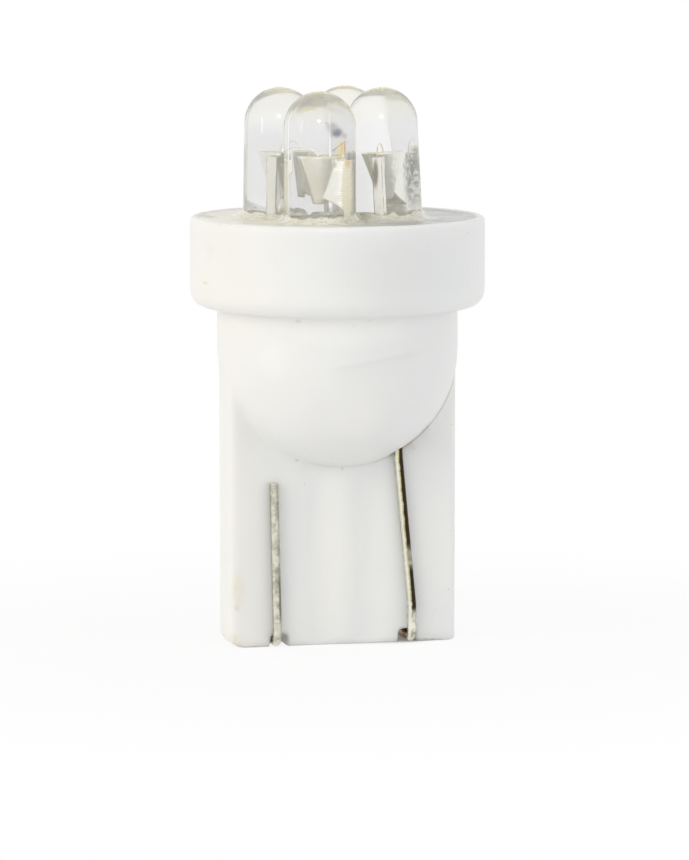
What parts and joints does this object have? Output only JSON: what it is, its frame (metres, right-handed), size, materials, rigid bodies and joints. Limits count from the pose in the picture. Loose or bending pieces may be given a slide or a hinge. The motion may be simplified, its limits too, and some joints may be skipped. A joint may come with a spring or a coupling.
{
  "type": "wedge base led bulb",
  "caption": "Small capless lamp: clear domed LEDs in a white moulded base with a round flange, a domed body and a flat wedge plate with folded contact wires.",
  "frame": {"origin": "middle of the wedge plate's lower edge, on the bulb's axis", "axes": "+Z along the bulb's axis towards the LEDs, X along the plate's width, -Y out of the front face"},
  "size_m": [0.012, 0.012, 0.0227],
  "materials": {
    "base_plastic": "white moulded plastic, satin",
    "lens": "water-clear cast epoxy",
    "resin": "clear glossy potting resin",
    "lead_frame": "silver-plated stamping",
    "die": "polished die",
    "phosphor": "pale yellow fill",
    "gold_wire": "bright wire",
    "board": "green laminate",
    "solder": "bright solder",
    "tinned_wire": "tinned wire, a little yellowed",
    "resistor_coat": "tan coating"
  },
  "bodies": {
    "root": {"wedge_base": "base_plastic", "circuit_board": "board", "potting_resin": "resin", "solder_joints": "solder", "contact_wire_front": "tinned_wire", "contact_wire_back": "tinned_wire", "resistor_body_1": "resistor_coat", "resistor_body_2": "resistor_coat", "resistor_leads_1": "tinned_wire", "resistor_leads_2": "tinned_wire", "led_lens_1": "lens", "led_lens_2": "lens", "led_lens_3": "lens", "led_lens_4": "lens", "led_anvil_1": "lead_frame", "led_anvil_2": "lead_frame", "led_anvil_3": "lead_frame", "led_anvil_4": "lead_frame", "led_post_1": "lead_frame", "led_post_2": "lead_frame", "led_post_3": "lead_frame", "led_post_4": "lead_frame", "led_chip_1": "die", "led_chip_2": "die", "led_chip_3": "die", "led_chip_4": "die", "led_phosphor_1": "phosphor", "led_phosphor_2": "phosphor", "led_phosphor_3": "phosphor", "led_phosphor_4": "phosphor", "led_bond_wire_1": "gold_wire", "led_bond_wire_2": "gold_wire", "led_bond_wire_3": "gold_wire", "led_bond_wire_4": "gold_wire"}
  },
  "joints": []
}
